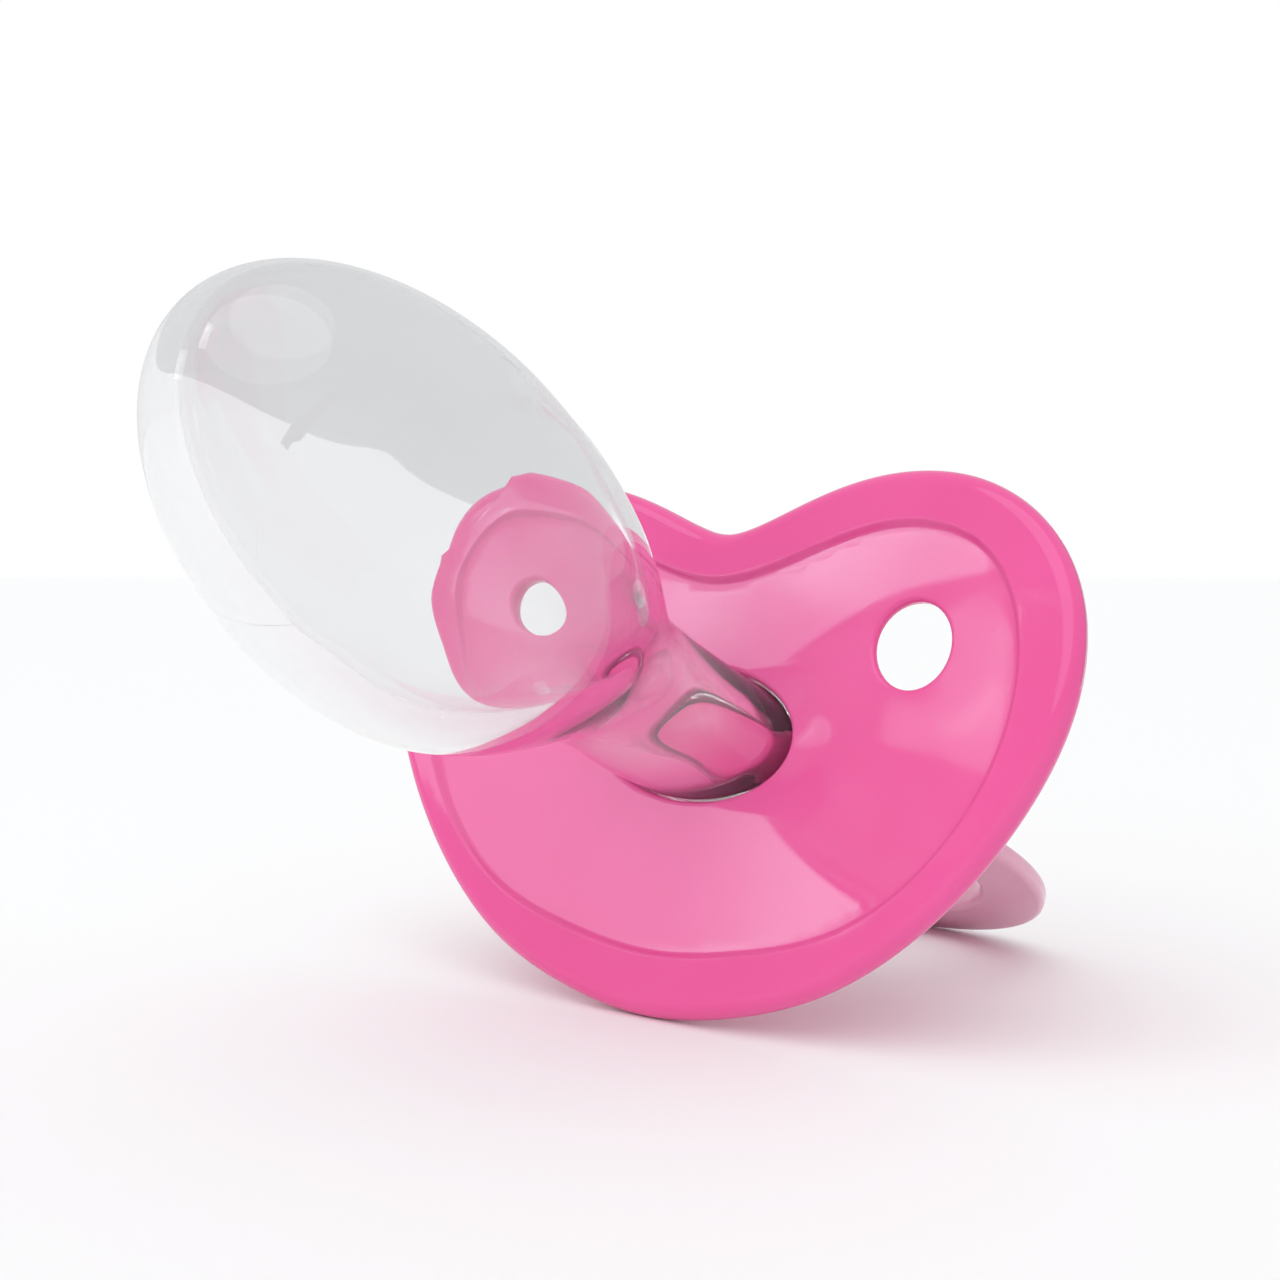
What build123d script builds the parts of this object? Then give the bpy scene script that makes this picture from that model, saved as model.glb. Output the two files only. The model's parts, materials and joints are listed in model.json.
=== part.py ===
from build123d import *
import os
from math import cos, hypot, radians, sin, sqrt, tan

# A baby pacifier: a dished guard, a hollow soft teat, the plug and rear cap that clamp
# the teat in the guard, and a swinging ring handle on the rear cap's two ears.
#
# Each piece is drawn in the guard's own axes: X across the face, Y up towards the nose
# notch, Z out along the teat. The last step stands the pacifier on its lower rim and the
# end of its ring, with the teat pointing up and forwards (-Y).

# Driving dimensions, in millimetres and degrees
GUARD_HALF_WIDTH = 24.75
GUARD_NOTCH = 12.5          # height of the nose notch above the teat axis
GUARD_CHIN = 16.8           # depth of the lower rim below the teat axis
GUARD_THICKNESS = 2.2
GUARD_DISH_RADIUS = 150.0   # the face is hollow towards the mouth
GUARD_EDGE_ROUND = 1.0
PAN_HALF_WIDTH = 21.3       # the pan lies inside a raised border
PAN_NOTCH = 9.4
PAN_CHIN = 13.2
PAN_DEPTH = 0.35
VENT_X = 14.3
VENT_Y = 5.7
VENT_RADIUS = 2.5
VENT_LAND = 0.6             # straight part of a vent, behind the face
VENT_FLARE = 40.0           # behind it the vent opens out at this angle

# The teat's sections from the guard to its widest place: each one's centre (Z, then Y),
# half width, half height, and how far it leans towards the palate
TEAT_SECTIONS = [
    (0.0, 0.0, 6.8, 3.95, 0.0),
    (4.2, 0.6, 6.1, 4.15, 4.0),
    (8.3, 1.4, 5.4, 4.4, 7.0),
    (12.6, 2.0, 7.1, 5.4, 7.0),
    (16.9, 2.5, 9.3, 7.6, 8.5),
    (21.1, 3.3, 10.1, 9.2, 13.5),
    (25.2, 4.5, 10.2, 9.6, 21.8),
]
TIP_LENGTH = 16.25          # widest section to the tip, along the lean
TIP_START = 12.0            # angle round the tip's profile where the round tip takes over
TEAT_WALL = 1.6
CAVITY_RISE = 1.0           # the bulb's wall is thinner above than below by twice this

SOCKET_GAP = 0.15
FLANGE_A = 9.2
FLANGE_B = 6.4
FLANGE_THICKNESS = 1.0
SOCKET_LIP = 1.2            # guard left in front of the flange
PLATE_GAP = 0.05
BOSS_WALL = 1.6
BOSS_DEPTH = 3.6            # how far the boss reaches behind the face
PLUG_NOSE = -0.4            # the plug's nose stops just behind the face
PLUG_ROUND = 0.3
CAP_THICKNESS = 1.35
CAP_ROUND = 0.9

HINGE_Y = -0.8
HINGE_Z = -7.2
EAR_X = 4.5                 # inner face of an ear
EAR_THICKNESS = 1.6
EAR_RADIUS = 1.7
EAR_ROUND = 0.3
PIN_RADIUS = 0.8
PIN_CLEARANCE = 0.05
EAR_GAP = 0.2

RING_RADIUS = 13.8
RING_HOLE_RADIUS = 9.6
RING_THICKNESS = 2.4
RING_EDGE = 1.1             # thickness at the outer edge, whose top slopes down to it
RING_ROUND = 0.4
RING_REACH = 11.95          # hinge axis to the ring's centre
RING_DROOP = 12.86          # the ring hangs this far below the teat axis line

STANDING_TILT = 16.3        # the teat points this far above the floor


def closed_outline(half):
    """A smooth closed face from the right half of its outline, top point first."""
    left = [(-x, y) for x, y in reversed(half[1:-1])]
    return make_face(Spline(*half, *left, periodic=True))


def guard_outline():
    """Two raised lobes beside a nose notch, narrowing to a broad chin."""
    w = GUARD_HALF_WIDTH
    half = [
        (0, GUARD_NOTCH),
        (0.09 * w, GUARD_NOTCH + 0.5),
        (0.21 * w, GUARD_NOTCH + 1.7),
        (0.36 * w, GUARD_NOTCH + 2.9),
        (0.53 * w, GUARD_NOTCH + 3.35),
        (0.715 * w, GUARD_NOTCH + 2.5),
        (0.87 * w, GUARD_NOTCH + 0.1),
        (0.972 * w, GUARD_NOTCH - 3.65),
        (w, 4.4),
        (0.885 * w, -3.9),
        (0.69 * w, -10.0),
        (0.47 * w, 2.8 - GUARD_CHIN),
        (0.235 * w, 0.75 - GUARD_CHIN),
        (0, -GUARD_CHIN),
    ]
    return closed_outline(half)


def pan_outline():
    """The sunken pan inside the guard's border, narrower at the top than at the sides."""
    w = PAN_HALF_WIDTH
    half = [
        (0, PAN_NOTCH),
        (0.27 * w, PAN_NOTCH + 1.4),
        (0.62 * w, PAN_NOTCH + 3.2),
        (0.88 * w, PAN_NOTCH + 1.3),
        (w, 4.9),
        (0.87 * w, -4.8),
        (0.57 * w, 2.6 - PAN_CHIN),
        (0.28 * w, 0.7 - PAN_CHIN),
        (0, -PAN_CHIN),
    ]
    return closed_outline(half)


def sagitta(distance):
    """How far the guard's face has come forward at a distance from the teat axis."""
    return GUARD_DISH_RADIUS - sqrt(GUARD_DISH_RADIUS**2 - distance**2)


def dish(radius):
    """A ball whose near surface is the guard's face, its poles kept off the face."""
    ball = Rot(90, 0, 0) * Sphere(radius)
    return Pos(0, 0, GUARD_DISH_RADIUS) * ball


def prism(sketch, low, high):
    """A sketch pushed from Z = low to Z = high."""
    return Pos(0, 0, low) * extrude(sketch, high - low)


def guard():
    """The dished guard with its pan, two vents, the teat socket and the rear boss."""
    slab = prism(guard_outline(), -8, 12)
    face = dish(GUARD_DISH_RADIUS)
    shell = (slab & dish(GUARD_DISH_RADIUS + GUARD_THICKNESS)) - face
    rims = shell.edges().filter_by(lambda e: e.length > 2 * GUARD_HALF_WIDTH)
    shell = fillet(rims, GUARD_EDGE_ROUND)
    pan = prism(pan_outline(), -8, 12) & dish(GUARD_DISH_RADIUS + PAN_DEPTH)
    shell = shell - pan
    boss = prism(Ellipse(FLANGE_A + BOSS_WALL, FLANGE_B + BOSS_WALL), -BOSS_DEPTH, -GUARD_THICKNESS / 2)
    shell = shell + boss
    neck_a, neck_b = TEAT_SECTIONS[0][2:4]
    mouth = prism(Ellipse(neck_a + SOCKET_GAP, neck_b + SOCKET_GAP), -8, 12)
    pocket = prism(Ellipse(FLANGE_A + SOCKET_GAP, FLANGE_B + SOCKET_GAP), -8, -SOCKET_LIP)
    shell = shell - mouth - pocket
    for side in (-1, 1):
        shell = shell - Pos(side * VENT_X, VENT_Y, 0) * vent()
    return shell


def vent():
    """The space of one vent: straight at the face, opening out behind it."""
    face = sagitta(hypot(VENT_X, VENT_Y)) - PAN_DEPTH
    depth = 3.0
    flare = Cone(VENT_RADIUS + depth * tan(radians(VENT_FLARE)), VENT_RADIUS, depth)
    return Cylinder(VENT_RADIUS, 30) + Pos(0, 0, face - VENT_LAND - depth / 2) * flare


def teat_form(inset, low, rise=0):
    """The teat's solid form from Z = low to the tip, inset from its outer surface, with
    the bulb moved up by rise."""
    foot_a, foot_b = TEAT_SECTIONS[0][2:4]
    widest_z, y, widest_a, widest_b, lean = TEAT_SECTIONS[-1]
    place = Pos(0, y + rise, widest_z) * Rot(-lean, 0, 0)
    length = TIP_LENGTH - inset
    start = radians(TIP_START)
    ring_a = (widest_a - inset) * cos(start)
    ring_b = (widest_b - inset) * cos(start)
    foot = prism(Ellipse(foot_a - inset, foot_b - inset), low, 0)
    faces = []
    for z, y, a, b, lean in TEAT_SECTIONS:
        centre = Pos(0, y + rise * z / widest_z, z)
        faces.append(centre * Rot(-lean, 0, 0) * Ellipse(a - inset, b - inset))
    faces.append(place * Pos(0, 0, length * sin(start)) * Ellipse(ring_a, ring_b))
    body = loft([face.face() for face in faces])
    arc = EllipticalCenterArc((0, 0), widest_a - inset, length, start_angle=TIP_START, arc_size=90 - TIP_START)
    sides = Polyline((0, length), (0, length * sin(start)), (ring_a, length * sin(start)))
    tip = revolve(Plane.XZ * make_face([arc, sides]), Axis.Z)
    tip = scale(tip, by=(1, (widest_b - inset) / (widest_a - inset), 1))
    return foot + body + place * tip


def teat():
    """The hollow teat: bulb, neck and the flange that the plug clamps in the guard."""
    flange_top = -SOCKET_LIP - PLATE_GAP
    flange_low = flange_top - FLANGE_THICKNESS
    flange = prism(Ellipse(FLANGE_A, FLANGE_B), flange_low, flange_top)
    cavity = teat_form(TEAT_WALL, flange_low - 1, CAVITY_RISE)
    return teat_form(0, flange_low) + flange - cavity


def teat_plug():
    """The plug: a plate behind the flange and a round-topped nose inside the neck."""
    plate_top = -SOCKET_LIP - FLANGE_THICKNESS - 2 * PLATE_GAP
    plate = prism(Ellipse(FLANGE_A, FLANGE_B), -BOSS_DEPTH, plate_top)
    inset = TEAT_WALL + SOCKET_GAP
    neck_a, neck_b = TEAT_SECTIONS[0][2:4]
    nose = prism(Ellipse(neck_a - inset, neck_b - inset), -BOSS_DEPTH, PLUG_NOSE)
    nose = fillet(nose.edges().group_by(Axis.Z)[-1], PLUG_ROUND)
    return plate + nose


def rear_cap():
    """The cap that closes the boss, with two bored ears for the ring."""
    base = -BOSS_DEPTH - PLATE_GAP
    back = base - CAP_THICKNESS
    plate = prism(Ellipse(FLANGE_A + BOSS_WALL, FLANGE_B + BOSS_WALL), back, base)
    cap = fillet(plate.edges().group_by(Axis.Z)[0], CAP_ROUND)
    for side in (-1, 1):
        middle = side * (EAR_X + EAR_THICKNESS / 2)
        eye = Rot(0, 90, 0) * Cylinder(EAR_RADIUS, EAR_THICKNESS)
        stem_height = back + 0.2 - HINGE_Z
        stem = Pos(0, 0, stem_height / 2) * Box(EAR_THICKNESS, 2 * EAR_RADIUS, stem_height)
        ear = eye + stem
        sides = ear.faces().filter_by(Axis.X).edges().filter_by(lambda e: e.center().Z < stem_height - 0.1)
        cap = cap + Pos(middle, HINGE_Y, HINGE_Z) * fillet(sides, EAR_ROUND)
    bore = Pos(0, HINGE_Y, HINGE_Z) * Rot(0, 90, 0) * Cylinder(PIN_RADIUS + PIN_CLEARANCE, 40)
    return cap - bore


def ring_handle():
    """The ring with its hinge barrel and two moulded pins, hanging at its rest angle."""
    half = RING_THICKNESS / 2
    section = Polyline(
        (RING_HOLE_RADIUS, half),
        (RING_RADIUS, half),
        (RING_RADIUS, half - RING_EDGE),
        (RING_HOLE_RADIUS + RING_EDGE, -half),
        (RING_HOLE_RADIUS, -half),
        close=True,
    )
    section = make_face(section)
    section = fillet(section.vertices(), RING_ROUND)
    ring = Pos(0, -RING_REACH, 0) * revolve(Plane.XZ * section, Axis.Z)
    swing = hypot(EAR_RADIUS, RING_THICKNESS / 2) + EAR_GAP
    for side in (-1, 1):
        notch = Rot(0, 90, 0) * Cylinder(swing, EAR_THICKNESS + 2 * EAR_GAP)
        ring = ring - Pos(side * (EAR_X + EAR_THICKNESS / 2), 0, 0) * notch
    barrel = Rot(0, 90, 0) * Cylinder(0.5 * RING_THICKNESS, 2 * (EAR_X - EAR_GAP))
    pins = Rot(0, 90, 0) * Cylinder(PIN_RADIUS, 2 * (EAR_X + EAR_THICKNESS + EAR_GAP))
    ring = ring + barrel + pins
    return Pos(0, HINGE_Y, HINGE_Z) * Rot(90 - RING_DROOP, 0, 0) * ring


pieces = {
    "guard": guard(),
    "teat": teat(),
    "teat_plug": teat_plug(),
    "rear_cap": rear_cap(),
    "ring_handle": ring_handle(),
}

# Stand the pacifier up, then put the origin on the floor under the middle of its box
stand = Rot(90 - STANDING_TILT, 0, 0)
standing = {name: stand * piece for name, piece in pieces.items()}
boxes = [piece.bounding_box() for piece in standing.values()]
front = min(box.min.Y for box in boxes)
rear = max(box.max.Y for box in boxes)
floor = min(box.min.Z for box in boxes)
to_floor = Pos(0, -(front + rear) / 2, -floor)

os.makedirs("parts", exist_ok=True)
for name, piece in standing.items():
    export_step(to_floor * piece, f"parts/{name}.step")

hinge = (to_floor * stand * Pos(0, HINGE_Y, HINGE_Z)).position
print("hinge axis passes through", hinge)
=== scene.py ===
import json
import math

import bmesh
import bpy
import numpy as np
from mathutils import Matrix, Vector
from mathutils.geometry import delaunay_2d_cdt


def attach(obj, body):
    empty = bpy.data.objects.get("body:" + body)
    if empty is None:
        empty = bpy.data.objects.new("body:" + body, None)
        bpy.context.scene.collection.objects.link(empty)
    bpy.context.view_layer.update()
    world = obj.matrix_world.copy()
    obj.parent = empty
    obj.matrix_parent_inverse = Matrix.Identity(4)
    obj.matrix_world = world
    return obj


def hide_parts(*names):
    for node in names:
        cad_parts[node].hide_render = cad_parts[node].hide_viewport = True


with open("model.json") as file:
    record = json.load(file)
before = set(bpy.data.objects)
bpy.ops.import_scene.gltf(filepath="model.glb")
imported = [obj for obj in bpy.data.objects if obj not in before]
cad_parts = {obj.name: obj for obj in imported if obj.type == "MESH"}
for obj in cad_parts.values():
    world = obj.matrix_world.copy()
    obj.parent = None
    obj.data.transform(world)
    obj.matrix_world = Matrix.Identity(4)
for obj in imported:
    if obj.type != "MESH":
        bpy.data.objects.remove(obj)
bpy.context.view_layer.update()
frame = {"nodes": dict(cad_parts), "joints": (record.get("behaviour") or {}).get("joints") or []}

# Shapes are worked out in the guard's own axes, in millimetres: X across the face,
# Y up towards the nose notch, Z out along the teat. row_frame() stands them up.

# The guard
HALF_WIDTH = 24.75
NOTCH = 12.5
CHIN = 16.8
DISH = 150.0
THICKNESS = 2.2
RIM_ROUND = 1.0
PAN_HALF_WIDTH = 21.3
PAN_NOTCH = 9.4
PAN_CHIN = 13.2
PAN_DEPTH = 0.35
PAN_WALL = 0.24             # half width of the step down into the pan
BORDER_SLOPE = 0.07         # the border falls away a little towards the rim
VENT = (14.3, 5.7)
VENT_RADIUS = 2.5
VENT_LAND = 0.6
VENT_FLARE = math.tan(math.radians(40.0))
VENT_ROUND = 0.3
MOUTH = (6.95, 4.1)         # the opening for the teat's neck
MOUTH_ROUND = 0.35
POCKET = (9.35, 6.55)
POCKET_TOP = -1.2
BOSS = (10.8, 8.0)
BOSS_END = -3.6

# The teat
SECTIONS = [                # centre Z and Y, half width, half height, lean in degrees
    (0.0, 0.0, 6.8, 3.95, 0.0),
    (4.2, 0.6, 6.1, 4.15, 4.0),
    (8.3, 1.4, 5.4, 4.4, 7.0),
    (12.6, 2.0, 7.1, 5.4, 7.0),
    (16.9, 2.5, 9.3, 7.6, 8.5),
    (21.1, 3.3, 10.1, 9.2, 13.5),
    (25.2, 4.5, 10.2, 9.6, 21.8),
]
TIP_LENGTH = 16.25
WALL = 1.6
CAVITY_RISE = 1.0           # the bulb's cavity lies this far above its outer surface's middle
FLANGE = (9.2, 6.4)
FLANGE_TOP = -1.25
FLANGE_LOW = -2.25

# How the pacifier stands
TILT = math.radians(90 - 16.3)
HINGE = np.array([0.0, -0.8, -7.2])

# Colours: the lighter and the deeper shade between which each plastic drifts
PINK = ((0.84, 0.095, 0.33), (0.80, 0.080, 0.30))
PLUG_PINK = ((0.84, 0.035, 0.27), (0.80, 0.03, 0.24))
# The ring's colour is partly its own paler pink plastic and partly a painted reflection: it is made
# paler still to stand for the white light its glossy sides mirror.
RING_PINK_WITH_PAINTED_SHEEN = ((0.80, 0.42, 0.55), (0.78, 0.38, 0.51))
PINK_ROUGHNESS = 0.05
RING_ROUGHNESS = 0.15
PLUG_ROUGHNESS = 0.2

# The light. Directions are an azimuth and an elevation in degrees.
ROOM = 0.78                 # how bright the room is, where the backdrop is 1
ROOM_GLOW = 1.5             # and where a soft glow lies behind the teat
GLOW_TOWARDS = (-155.0, 1.0)
GLOW_EDGES = (0.9945, 0.9995)   # cosines between which the glow fades in
SUN_FROM = (10, 50)
SUN_STRENGTH = 1.1
SUN_WIDTH = math.radians(70)
FLOOR_SIZE = 6.0
FLOOR_SHADE = (0.96, 0.96, 0.96, 1)

# Small white cards in front of the guard, which it mirrors as pale patches. Each has its
# left, right, lower and upper edge in millimetres on a plane 200 mm away, how bright it
# is, and how many millimetres it stands in front of that plane.
CARDS = [
    ("card_window", (-12.0, 14.0, -20.0, 22.0), 2.2, 0.0),
    ("card_top", (-0.8, 2.2, 8.5, 16.0), 5.0, 1.0),
    ("card_notch", (1.9, 4.2, 4.2, 7.7), 5.0, 1.0),
    ("card_side", (-4.6, -2.9, 4.0, 14.0), 4.0, 1.0),
    ("card_chin", (-3.6, -1.3, -11.0, 1.5), 3.6, 1.0),
]
CARDS_FROM = (-40.0, 20.3)
CARD_DISTANCE = 0.2

# The camera: its lens in millimetres, its distance in metres, and its directions
LENS = 49.3
CAMERA_DISTANCE = 0.1047
AIM_FROM_GUARD = (-0.00251, -0.001695, 0.005501)
TOWARD_CAMERA = (0.6229, -0.7811, 0.0431)
CAMERA_UP = (-0.0269, 0.0337, 0.9991)


def turned(points):
    """Points turned from the guard's axes to the row frame's."""
    c, s = math.cos(TILT), math.sin(TILT)
    x, y, z = points.T
    return np.stack([x, c * y - s * z, s * y + c * z], 1)


SHIFT = np.array(frame["joints"][0]["pos_m"]) - turned(HINGE[None])[0] / 1000


def row_frame(points):
    """Points in the guard's axes, in millimetres, as points of the row frame in metres."""
    return turned(np.asarray(points, float).reshape(-1, 3)) / 1000 + SHIFT


def guard_axes(places):
    """Points of the row frame, in metres, as points in the guard's axes in millimetres."""
    x, y, z = ((np.asarray(places, float) - SHIFT) * 1000).T
    c, s = math.cos(TILT), math.sin(TILT)
    return np.stack([x, c * y + s * z, c * z - s * y], 1)


class Form:
    """Vertices and faces of one closed piece, welded when it is made."""

    def __init__(self):
        self.points = []
        self.faces = []

    def add(self, points):
        first = len(self.points)
        self.points.extend(map(tuple, points))
        return list(range(first, len(self.points)))

    def bridge(self, loops):
        """Quads between each loop and the next, all with the same number of points."""
        for a, b in zip(loops, loops[1:]):
            n = len(a)
            self.faces.extend((a[i], a[(i + 1) % n], b[(i + 1) % n], b[i]) for i in range(n))

    def cap(self, loop, centre):
        tip = self.add([centre])[0]
        n = len(loop)
        self.faces.extend((loop[i], loop[(i + 1) % n], tip) for i in range(n))

    def make(self, name, sharp=40.0):
        mesh = bpy.data.meshes.new(name)
        mesh.from_pydata(row_frame(self.points).tolist(), [], self.faces)
        edit = bmesh.new()
        edit.from_mesh(mesh)
        bmesh.ops.remove_doubles(edit, verts=edit.verts, dist=4e-6)
        bmesh.ops.recalc_face_normals(edit, faces=edit.faces)
        edit.to_mesh(mesh)
        edit.free()
        mesh.shade_smooth()
        mesh.set_sharp_from_angle(angle=math.radians(sharp))
        obj = bpy.data.objects.new(name, mesh)
        bpy.context.scene.collection.objects.link(obj)
        return obj


def closed_spline(half, count):
    """Evenly spaced points on a smooth closed outline, from the points of its right half."""
    knots = np.array(half + [(-x, y) for x, y in reversed(half[1:-1])], float)
    n = len(knots)
    after = np.roll(knots, -1, 0)
    chord = np.linalg.norm(after - knots, axis=1)
    slope = (after - knots) / chord[:, None]
    system = np.zeros((n, n))
    for i in range(n):
        system[i, i - 1] += chord[i - 1]
        system[i, i] += 2 * (chord[i - 1] + chord[i])
        system[i, (i + 1) % n] += chord[i]
    bend = np.linalg.solve(system, 6 * (slope - np.roll(slope, 1, 0)))
    fine = []
    for i in range(n):
        j = (i + 1) % n
        for t in np.arange(0, 1, 0.02):
            u = 1 - t
            curved = (u**3 - u) * bend[i] + (t**3 - t) * bend[j]
            fine.append(u * knots[i] + t * knots[j] + chord[i] ** 2 / 6 * curved)
    fine = np.array(fine + fine[:1])
    along = np.concatenate([[0], np.cumsum(np.linalg.norm(np.diff(fine, axis=0), axis=1))])
    at = np.linspace(0, along[-1], count, endpoint=False)
    return np.stack([np.interp(at, along, fine[:, k]) for k in (0, 1)], 1)


def inward(loop):
    """Unit normals of a clockwise loop, pointing into it."""
    way = np.roll(loop, -1, 0) - np.roll(loop, 1, 0)
    way /= np.linalg.norm(way, axis=1)[:, None]
    return np.stack([way[:, 1], -way[:, 0]], 1)


def oval(a, b, grow=0.0, count=96):
    """An ellipse about the teat axis, moved out along its normals by grow."""
    t = np.linspace(0, 2 * math.pi, count, endpoint=False)
    out = np.stack([np.cos(t) / a, np.sin(t) / b], 1)
    out /= np.linalg.norm(out, axis=1)[:, None]
    return np.stack([a * np.cos(t), b * np.sin(t)], 1) + grow * out


def circle(centre, radius, count=48):
    t = np.linspace(0, 2 * math.pi, count, endpoint=False)
    radius = np.broadcast_to(radius, (count,))[:, None]
    return np.array(centre) + radius * np.stack([np.cos(t), np.sin(t)], 1)


def inside_by(points, loop):
    """How far each point lies inside a closed loop, less than nought outside it."""
    a = loop[None]
    b = np.roll(loop, -1, 0)[None]
    p = points[:, None]
    run = b - a
    t = np.clip(((p - a) * run).sum(2) / (run**2).sum(2), 0, 1)
    near = np.linalg.norm(p - a - t[..., None] * run, axis=2).min(1)
    spans = (a[..., 1] > p[..., 1]) != (b[..., 1] > p[..., 1])
    rise = np.where(run[..., 1] == 0, 1, run[..., 1])
    crossing = a[..., 0] + (p[..., 1] - a[..., 1]) / rise * run[..., 0]
    inside = (spans & (p[..., 0] < crossing)).sum(1) % 2 == 1
    return np.where(inside, near, -near)


def smooth(t):
    t = np.clip(t, 0, 1)
    return t * t * (3 - 2 * t)


OUTLINE = closed_spline(
    [
        (0, NOTCH),
        (0.09 * HALF_WIDTH, NOTCH + 0.5),
        (0.21 * HALF_WIDTH, NOTCH + 1.7),
        (0.36 * HALF_WIDTH, NOTCH + 2.9),
        (0.53 * HALF_WIDTH, NOTCH + 3.35),
        (0.715 * HALF_WIDTH, NOTCH + 2.5),
        (0.87 * HALF_WIDTH, NOTCH + 0.1),
        (0.972 * HALF_WIDTH, NOTCH - 3.65),
        (HALF_WIDTH, 4.4),
        (0.885 * HALF_WIDTH, -3.9),
        (0.69 * HALF_WIDTH, -10.0),
        (0.47 * HALF_WIDTH, 2.8 - CHIN),
        (0.235 * HALF_WIDTH, 0.75 - CHIN),
        (0, -CHIN),
    ],
    300,
)
PAN = closed_spline(
    [
        (0, PAN_NOTCH),
        (0.27 * PAN_HALF_WIDTH, PAN_NOTCH + 1.4),
        (0.62 * PAN_HALF_WIDTH, PAN_NOTCH + 3.2),
        (0.88 * PAN_HALF_WIDTH, PAN_NOTCH + 1.3),
        (PAN_HALF_WIDTH, 4.9),
        (0.87 * PAN_HALF_WIDTH, -4.8),
        (0.57 * PAN_HALF_WIDTH, 2.6 - PAN_CHIN),
        (0.28 * PAN_HALF_WIDTH, 0.7 - PAN_CHIN),
        (0, -PAN_CHIN),
    ],
    260,
)


def face_height(xy):
    """The guard's front: a dish with a pan let into it."""
    dish = DISH - np.sqrt(DISH**2 - (xy**2).sum(1))
    within = inside_by(xy, PAN)
    step = smooth((within + PAN_WALL) / (2 * PAN_WALL))
    return dish - PAN_DEPTH * step - BORDER_SLOPE * np.clip(-within, 0, None)


def back_height(xy):
    return DISH - np.sqrt((DISH + THICKNESS) ** 2 - (xy**2).sum(1))


def sheet(form, edge, holes, height, spacing=0.75):
    """A triangulated face between an edge loop and the loops of its holes."""
    loops = [edge, *holes]
    points = []
    edges = []
    for loop in loops:
        first = len(points)
        points.extend(loop.tolist())
        edges.extend((first + i, first + (i + 1) % len(loop)) for i in range(len(loop)))
    low, high = edge.min(0), edge.max(0)
    rows = []
    for r, y in enumerate(np.arange(low[1], high[1], spacing * 0.866)):
        xs = np.arange(low[0] + (r % 2) * spacing / 2, high[0], spacing)
        rows.append(np.stack([xs, np.full(len(xs), y)], 1))
    grid = np.concatenate(rows)
    keep = inside_by(grid, edge) > 0.4 * spacing
    for loop in holes:
        keep &= inside_by(grid, loop) < -0.4 * spacing
    points.extend(grid[keep].tolist())
    verts, _, faces, *_ = delaunay_2d_cdt([Vector(p) for p in points], edges, [], 0, 1e-5)
    flat = np.array([(v.x, v.y) for v in verts])
    faces = np.array(faces)
    middle = flat[faces].mean(1)
    wanted = inside_by(middle, edge) > 0
    for loop in holes:
        wanted &= inside_by(middle, loop) < 0
    ids = form.add(np.column_stack([flat, height(flat)]))
    form.faces.extend(tuple(ids[i] for i in face) for face in faces[wanted])


def rounded(steps):
    """Angles of a quarter round, from the face to the side."""
    return np.linspace(0, math.pi / 2, steps)


def rim(form, normals, height, sign):
    """The quarter round at the guard's edge, from one face to the side."""
    loops = []
    for angle in rounded(8):
        xy = OUTLINE + normals * RIM_ROUND * (1 - math.sin(angle))
        z = height(xy) - sign * RIM_ROUND * (1 - math.cos(angle))
        loops.append(form.add(np.column_stack([xy, z])))
    return loops


def vent(side):
    """Loops of a vent: rounded edge, short straight land, then a flare to the back."""
    centre = (side * VENT[0], VENT[1])
    loops = []
    for angle in rounded(6):
        xy = circle(centre, VENT_RADIUS + VENT_ROUND * (1 - math.sin(angle)))
        z = face_height(xy) - VENT_ROUND * (1 - math.cos(angle))
        loops.append(np.column_stack([xy, z]))
    land = float(face_height(np.array([centre]))[0]) - VENT_LAND
    xy = circle(centre, VENT_RADIUS)
    loops.append(np.column_stack([xy, np.full(len(xy), land)]))
    radius = np.full(len(xy), VENT_RADIUS)
    for _ in range(4):
        rear = back_height(circle(centre, radius))
        radius = VENT_RADIUS + (land - rear) * VENT_FLARE
    for part in (0.12, 0.5, 0.85, 1.0):
        xy = circle(centre, VENT_RADIUS + part * (radius - VENT_RADIUS))
        loops.append(np.column_stack([xy, land + part * (rear - land)]))
    mouth = circle(centre, radius + VENT_ROUND)
    loops.append(np.column_stack([mouth, back_height(mouth)]))
    return loops


def socket():
    """Loops from the neck's opening through the pocket and round the boss to the back."""
    loops = []
    for angle in rounded(7):
        xy = oval(*MOUTH, MOUTH_ROUND * (1 - math.sin(angle)))
        z = face_height(xy) - MOUTH_ROUND * (1 - math.cos(angle))
        loops.append(np.column_stack([xy, z]))
    for xy, z in (
        (oval(*MOUTH), POCKET_TOP),
        (oval(*POCKET), POCKET_TOP),
        (oval(*POCKET), BOSS_END),
        (oval(*BOSS, -0.25), BOSS_END),
        (oval(*BOSS, -0.07), BOSS_END + 0.07),
        (oval(*BOSS), BOSS_END + 0.25),
        (oval(*BOSS), -THICKNESS - 0.35),
        (oval(*BOSS, 0.15), -THICKNESS),
    ):
        loops.append(np.column_stack([xy, np.full(len(xy), z)]))
    base = oval(*BOSS, 0.75)
    loops.append(np.column_stack([base, back_height(base)]))
    return loops


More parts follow.
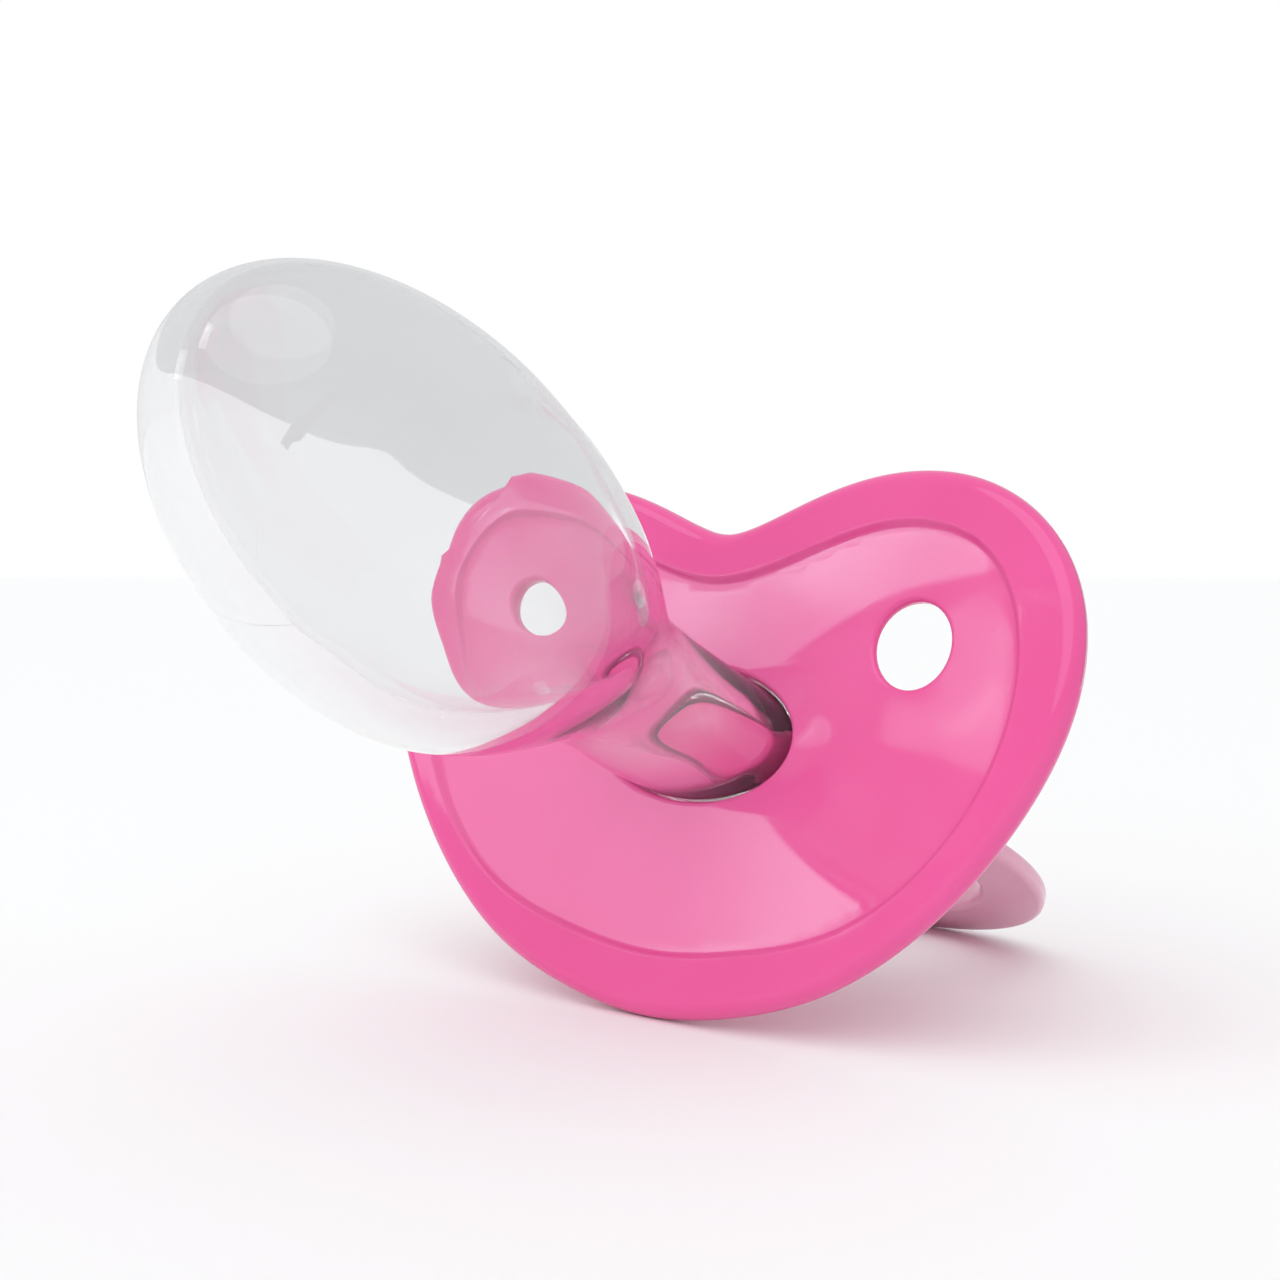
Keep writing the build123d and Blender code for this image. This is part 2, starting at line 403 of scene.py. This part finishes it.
def guard():
    form = Form()
    normals = inward(OUTLINE)
    front_rim = rim(form, normals, face_height, 1)
    back_rim = rim(form, normals, back_height, -1)
    form.bridge(front_rim + back_rim[::-1])

    front_holes = []
    back_holes = []
    for loops in (vent(-1), vent(1), socket()):
        front_holes.append(loops[0][:, :2])
        back_holes.append(loops[-1][:, :2])
        form.bridge([form.add(loop) for loop in loops])

    pan_normals = inward(PAN)
    steps = [PAN + pan_normals * PAN_WALL * part for part in np.linspace(-1, 1, 11)]
    form.bridge([form.add(np.column_stack([xy, face_height(xy)])) for xy in steps])
    edge = OUTLINE + normals * RIM_ROUND
    sheet(form, edge, [steps[0]], face_height)
    sheet(form, steps[-1], front_holes, face_height)
    sheet(form, edge, back_holes, back_height)
    piece = form.make("guard_visual")
    exact_face_normals(piece.data)
    return piece


def exact_face_normals(mesh):
    """Takes the front's normals from its height function, so that it mirrors cleanly."""
    places = np.array([v.co for v in mesh.vertices])
    across, up, out = guard_axes(places).T
    xy = np.stack([across, up], 1)
    step = 0.01
    rise = [
        (face_height(xy + move) - face_height(xy - move)) / (2 * step)
        for move in (np.array([step, 0]), np.array([0, step]))
    ]
    normals = turned(np.column_stack([-rise[0], -rise[1], np.ones(len(xy))]))
    normals /= np.linalg.norm(normals, axis=1)[:, None]
    on_face = np.abs(out - face_height(xy)) < 2e-3
    on_face &= inside_by(xy, OUTLINE) > RIM_ROUND - 0.02
    mesh.normals_split_custom_set_from_vertices(np.where(on_face[:, None], normals, 0).tolist())


def section_curve(rise):
    """The teat's sections joined smoothly, from the guard to just past the widest place."""
    widest = SECTIONS[-1][0]
    rows = [
        (z, y + rise * z / widest, a, b, math.radians(lean))
        for z, y, a, b, lean in SECTIONS
    ]
    z, y, a, b, tip = rows[-1]
    for past in (math.radians(12), math.radians(24)):
        out = TIP_LENGTH * math.sin(past)
        narrow = math.cos(past)
        rows.append((z + out * math.cos(tip), y + out * math.sin(tip), a * narrow, b * narrow, tip))
    knots = np.array(rows)
    at = np.concatenate([[0], np.cumsum(np.linalg.norm(np.diff(knots[:, :2], axis=0), axis=1))])
    n = len(knots)
    step = np.diff(at)
    system = np.eye(n)
    pull = np.zeros((n, knots.shape[1]))
    for i in range(1, n - 1):
        before, after = step[i - 1], step[i]
        system[i, i - 1 : i + 2] = before, 2 * (before + after), after
        slopes = (knots[i + 1] - knots[i]) / after - (knots[i] - knots[i - 1]) / before
        pull[i] = 6 * slopes
    bend = np.linalg.solve(system, pull)
    curve = []
    for i in range(n - 2):
        for t in np.arange(0, 1, 0.1):
            u = 1 - t
            curved = (u**3 - u) * bend[i] + (t**3 - t) * bend[i + 1]
            curve.append(u * knots[i] + t * knots[i + 1] + step[i] ** 2 / 6 * curved)
    return np.array(curve)


def section_ring(z, y, a, b, lean, count=96):
    t = np.linspace(0, 2 * math.pi, count, endpoint=False)
    up = b * np.sin(t)
    return np.stack([a * np.cos(t), y + up * math.cos(lean), z - up * math.sin(lean)], 1)


def teat_skin(form, inset, rise):
    """One skin of the teat from the guard's face to the tip. Gives back its first loop."""
    z, y, a, b, lean = SECTIONS[-1]
    y += rise
    lean = math.radians(lean)
    length = TIP_LENGTH - inset
    loops = [
        form.add(section_ring(z1, y1, a1 - inset, b1 - inset, lean1))
        for z1, y1, a1, b1, lean1 in section_curve(rise)
    ]
    for past in np.radians(np.arange(12, 90, 3)):
        out = length * math.sin(past)
        ring = section_ring(
            z + out * math.cos(lean),
            y + out * math.sin(lean),
            (a - inset) * math.cos(past),
            (b - inset) * math.cos(past),
            lean,
        )
        loops.append(form.add(ring))
    form.bridge(loops)
    form.cap(loops[-1], (0, y + length * math.sin(lean), z + length * math.cos(lean)))
    return loops[0]


def teat():
    form = Form()
    foot = SECTIONS[0][2:4]

    def level(a, b, z):
        return form.add(section_ring(z, 0, a, b, 0))

    outer = teat_skin(form, 0, 0)
    inner = teat_skin(form, WALL, CAVITY_RISE)
    form.bridge(
        [
            outer,
            level(*foot, FLANGE_TOP),
            level(*FLANGE, FLANGE_TOP),
            level(*FLANGE, FLANGE_LOW),
            level(foot[0] - WALL, foot[1] - WALL, FLANGE_LOW),
            inner,
        ]
    )
    return form.make("teat_visual")


def new_material(name):
    mat = bpy.data.materials.new(name)
    mat.use_nodes = True
    tree = mat.node_tree
    return mat, tree, tree.nodes["Principled BSDF"]


def node(tree, kind, **settings):
    made = tree.nodes.new(kind)
    for key, value in settings.items():
        if hasattr(made, key):
            setattr(made, key, value)
        else:
            made.inputs[key.replace("_", " ")].default_value = value
    return made


def ramp(tree, source, low, high, start=0.0, end=1.0):
    """A source value from start to end, as a value from low to high."""
    made = node(tree, "ShaderNodeMapRange")
    made.inputs["From Min"].default_value = start
    made.inputs["From Max"].default_value = end
    made.inputs["To Min"].default_value = low
    made.inputs["To Max"].default_value = high
    tree.links.new(source, made.inputs["Value"])
    return made.outputs["Result"]


def plastic(name, colour, deep, rough):
    """Moulded plastic: faint flow marks in colour and gloss, and a fine grain."""
    mat, tree, shader = new_material(name)
    place = node(tree, "ShaderNodeTexCoord").outputs["Object"]
    flow = node(tree, "ShaderNodeTexNoise", Scale=90.0, Detail=2.0)
    grain = node(tree, "ShaderNodeTexNoise", Scale=9000.0, Detail=2.0)
    for noise in (flow, grain):
        tree.links.new(place, noise.inputs["Vector"])
    mix = node(tree, "ShaderNodeMix", data_type="RGBA")
    mix.inputs["A"].default_value = (*deep, 1)
    mix.inputs["B"].default_value = (*colour, 1)
    tree.links.new(ramp(tree, flow.outputs["Fac"], 0.0, 1.0, 0.3, 0.7), mix.inputs["Factor"])
    tree.links.new(mix.outputs["Result"], shader.inputs["Base Color"])
    gloss = ramp(tree, flow.outputs["Fac"], rough * 0.8, rough * 1.25)
    tree.links.new(gloss, shader.inputs["Roughness"])
    bump = node(tree, "ShaderNodeBump", Strength=0.03, Distance=0.00002)
    tree.links.new(grain.outputs["Fac"], bump.inputs["Height"])
    tree.links.new(bump.outputs["Normal"], shader.inputs["Normal"])
    shader.inputs["IOR"].default_value = 1.5
    shader.inputs["Specular Tint"].default_value = (0.45, 1.0, 1.0, 1)
    return mat


def combined(tree, operation, first, second):
    """Two values added, multiplied or otherwise combined by a Math node."""
    made = node(tree, "ShaderNodeMath", operation=operation)
    tree.links.new(first, made.inputs[0])
    tree.links.new(second, made.inputs[1])
    return made.outputs["Value"]


def silicone():
    """Clear moulded silicone: faint grey tint, milky neck, dust that dulls its gloss."""
    mat, tree, shader = new_material("clear_silicone")
    place = node(tree, "ShaderNodeTexCoord").outputs["Object"]
    cloud = node(tree, "ShaderNodeTexNoise", Scale=60.0, Detail=2.0)
    specks = node(tree, "ShaderNodeTexVoronoi", Scale=1100.0)
    patches = node(tree, "ShaderNodeTexNoise", Scale=170.0, Detail=2.0)
    for texture in (cloud, specks, patches):
        tree.links.new(place, texture.inputs["Vector"])

    # distance along the teat axis, in metres, from the guard's face
    teat_axis = turned(np.array([[0, 0, 1.0]]))[0]
    along = node(tree, "ShaderNodeVectorMath", operation="DOT_PRODUCT")
    along.inputs[1].default_value = tuple(teat_axis)
    tree.links.new(place, along.inputs[0])
    along = along.outputs["Value"]
    face = float(SHIFT @ teat_axis)
    milky = ramp(tree, along, 0.98, 0.89, face + 0.002, face + 0.006)
    back_to_clear = ramp(tree, along, 0.0, 0.105, face + 0.009, face + 0.016)
    clear = combined(tree, "ADD", milky, back_to_clear)
    tree.links.new(clear, shader.inputs["Transmission Weight"])

    grey = node(tree, "ShaderNodeMix", data_type="RGBA")
    grey.inputs["A"].default_value = (0.90, 0.905, 0.91, 1)
    grey.inputs["B"].default_value = (0.94, 0.945, 0.95, 1)
    tree.links.new(cloud.outputs["Fac"], grey.inputs["Factor"])
    tint = node(tree, "ShaderNodeMix", data_type="RGBA")
    tint.inputs["A"].default_value = (0.995, 0.995, 0.995, 1)
    tree.links.new(grey.outputs["Result"], tint.inputs["B"])
    towards_bulb = ramp(tree, along, 0.0, 1.0, face + 0.006, face + 0.02)
    tree.links.new(towards_bulb, tint.inputs["Factor"])
    tree.links.new(tint.outputs["Result"], shader.inputs["Base Color"])

    speck = ramp(tree, specks.outputs["Distance"], 1.0, 0.0, 0.06, 0.16)
    dusty = ramp(tree, patches.outputs["Fac"], 0.0, 0.25, 0.58, 0.70)
    dust = combined(tree, "MULTIPLY", speck, dusty)
    film = ramp(tree, cloud.outputs["Fac"], 0.01, 0.03)
    tree.links.new(combined(tree, "ADD", dust, film), shader.inputs["Roughness"])
    shader.inputs["IOR"].default_value = 1.41

    # lamps reach what lies inside and behind the teat
    path = node(tree, "ShaderNodeLightPath")
    open_way = node(tree, "ShaderNodeBsdfTransparent")
    open_way.inputs["Color"].default_value = (0.95, 0.95, 0.96, 1)
    surface = node(tree, "ShaderNodeMixShader")
    tree.links.new(path.outputs["Is Shadow Ray"], surface.inputs["Fac"])
    tree.links.new(shader.outputs["BSDF"], surface.inputs[1])
    tree.links.new(open_way.outputs["BSDF"], surface.inputs[2])
    tree.links.new(surface.outputs["Shader"], tree.nodes["Material Output"].inputs["Surface"])
    return mat


def finish_node(name, mat):
    """A carried-over CAD node gets a real finish."""
    mesh = frame["nodes"][name].data
    mesh.materials.clear()
    mesh.materials.append(mat)


def look_at(obj, place, aim):
    turn = (Vector(place) - Vector(aim)).to_track_quat("Z", "Y").to_matrix().to_4x4()
    obj.matrix_world = Matrix.Translation(place) @ turn


def softbox(name, place, aim, size, glow):
    """A rectangular white panel whose face is this bright, where the backdrop is 1."""
    data = bpy.data.lights.new(name, "AREA")
    data.shape = "RECTANGLE"
    data.size, data.size_y = size
    data.energy = glow * math.pi * size[0] * size[1]
    obj = bpy.data.objects.new(name, data)
    bpy.context.scene.collection.objects.link(obj)
    look_at(obj, Vector(place), Vector(aim))
    return obj


def direction(azimuth, elevation):
    """Azimuth 0 is in front of the object (-Y), 90 on its +X side."""
    a, e = math.radians(azimuth), math.radians(elevation)
    return Vector((math.sin(a) * math.cos(e), -math.cos(a) * math.cos(e), math.sin(e)))


def card(name, left, right, low, high, glow, nearer):
    """One of the white cards, facing the guard and out of the camera's sight."""
    toward = direction(*CARDS_FROM)
    across = Vector((0, 0, 1)).cross(toward).normalized()
    up = toward.cross(across)
    middle = Vector(SHIFT) + toward * (CARD_DISTANCE - nearer / 1000)
    place = middle + across * (left + right) / 2000 + up * (low + high) / 2000
    size = ((right - left) / 1000, (high - low) / 1000)
    light = softbox(name, place, place - toward, size, glow)
    light.visible_camera = False


def floor():
    """A wide pale floor."""
    bpy.ops.mesh.primitive_plane_add(size=FLOOR_SIZE)
    obj = bpy.context.object
    obj.name = "floor"
    mat, tree, shader = new_material("pale_floor")
    place = node(tree, "ShaderNodeTexCoord").outputs["Object"]
    cloud = node(tree, "ShaderNodeTexNoise", Scale=3.0, Detail=1.0)
    tree.links.new(place, cloud.inputs["Vector"])
    tree.links.new(ramp(tree, cloud.outputs["Fac"], 0.7, 0.8), shader.inputs["Roughness"])
    shader.inputs["Base Color"].default_value = FLOOR_SHADE
    obj.data.materials.append(mat)


def room():
    """An even pale room with one soft glow. The camera itself sees plain white."""
    world = bpy.data.worlds.new("studio")
    bpy.context.scene.world = world
    world.use_nodes = True
    tree = world.node_tree
    walls = tree.nodes["Background"]
    walls.inputs["Color"].default_value = (0.98, 0.99, 1.0, 1)
    ray = node(tree, "ShaderNodeTexCoord").outputs["Generated"]
    facing = node(tree, "ShaderNodeVectorMath", operation="DOT_PRODUCT")
    facing.inputs[1].default_value = direction(*GLOW_TOWARDS)
    tree.links.new(ray, facing.inputs[0])
    glow = ramp(tree, facing.outputs["Value"], ROOM, ROOM_GLOW, *GLOW_EDGES)
    glow.node.interpolation_type = "SMOOTHSTEP"
    tree.links.new(glow, walls.inputs["Strength"])
    backdrop = node(tree, "ShaderNodeBackground")
    backdrop.inputs["Color"].default_value = (1, 1, 1, 1)
    path = node(tree, "ShaderNodeLightPath")
    seen = node(tree, "ShaderNodeMixShader")
    tree.links.new(path.outputs["Is Camera Ray"], seen.inputs["Fac"])
    tree.links.new(walls.outputs["Background"], seen.inputs[1])
    tree.links.new(backdrop.outputs["Background"], seen.inputs[2])
    tree.links.new(seen.outputs["Shader"], tree.nodes["World Output"].inputs["Surface"])


def studio():
    """A pale floor and even white light."""
    floor()
    room()
    middle = Vector(SHIFT)
    data = bpy.data.lights.new("sky_panel", "SUN")
    data.energy = SUN_STRENGTH
    data.angle = SUN_WIDTH
    panel = bpy.data.objects.new("sky_panel", data)
    bpy.context.scene.collection.objects.link(panel)
    look_at(panel, middle + direction(*SUN_FROM), middle)
    for name, edges, glow, nearer in CARDS:
        card(name, *edges, glow, nearer)


def camera():
    """The photograph's viewing angle: level with the pacifier, teat towards the left."""
    data = bpy.data.cameras.new("camera")
    data.lens = LENS
    data.sensor_width = 36.0
    data.clip_start = 0.01
    data.clip_end = 10.0
    obj = bpy.data.objects.new("camera", data)
    bpy.context.scene.collection.objects.link(obj)
    aim = Vector(AIM_FROM_GUARD) + Vector(SHIFT)
    toward = Vector(TOWARD_CAMERA).normalized()
    up = Vector(CAMERA_UP)
    right = up.cross(toward).normalized()
    up = toward.cross(right)
    turn = Matrix((right, up, toward)).transposed().to_4x4()
    obj.matrix_world = Matrix.Translation(aim + toward * CAMERA_DISTANCE) @ turn
    bpy.context.scene.camera = obj


pink = plastic("pink_plastic", *PINK, PINK_ROUGHNESS)
plug_pink = plastic("plug_plastic", *PLUG_PINK, PLUG_ROUGHNESS)

guard_piece = guard()
guard_piece.data.materials.append(pink)
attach(guard_piece, "soother")
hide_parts("guard")

teat_piece = teat()
teat_piece.data.materials.append(silicone())
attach(teat_piece, "soother")
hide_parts("teat")

finish_node("teat_plug", plug_pink)
finish_node("rear_cap", pink)
# The ring's paler base colour holds a painted reflection of the white room as well as its own pink.
finish_node("ring_handle", plastic("ring_plastic", *RING_PINK_WITH_PAINTED_SHEEN, RING_ROUGHNESS))

studio()
camera()
bpy.context.scene.view_settings.view_transform = "Standard"
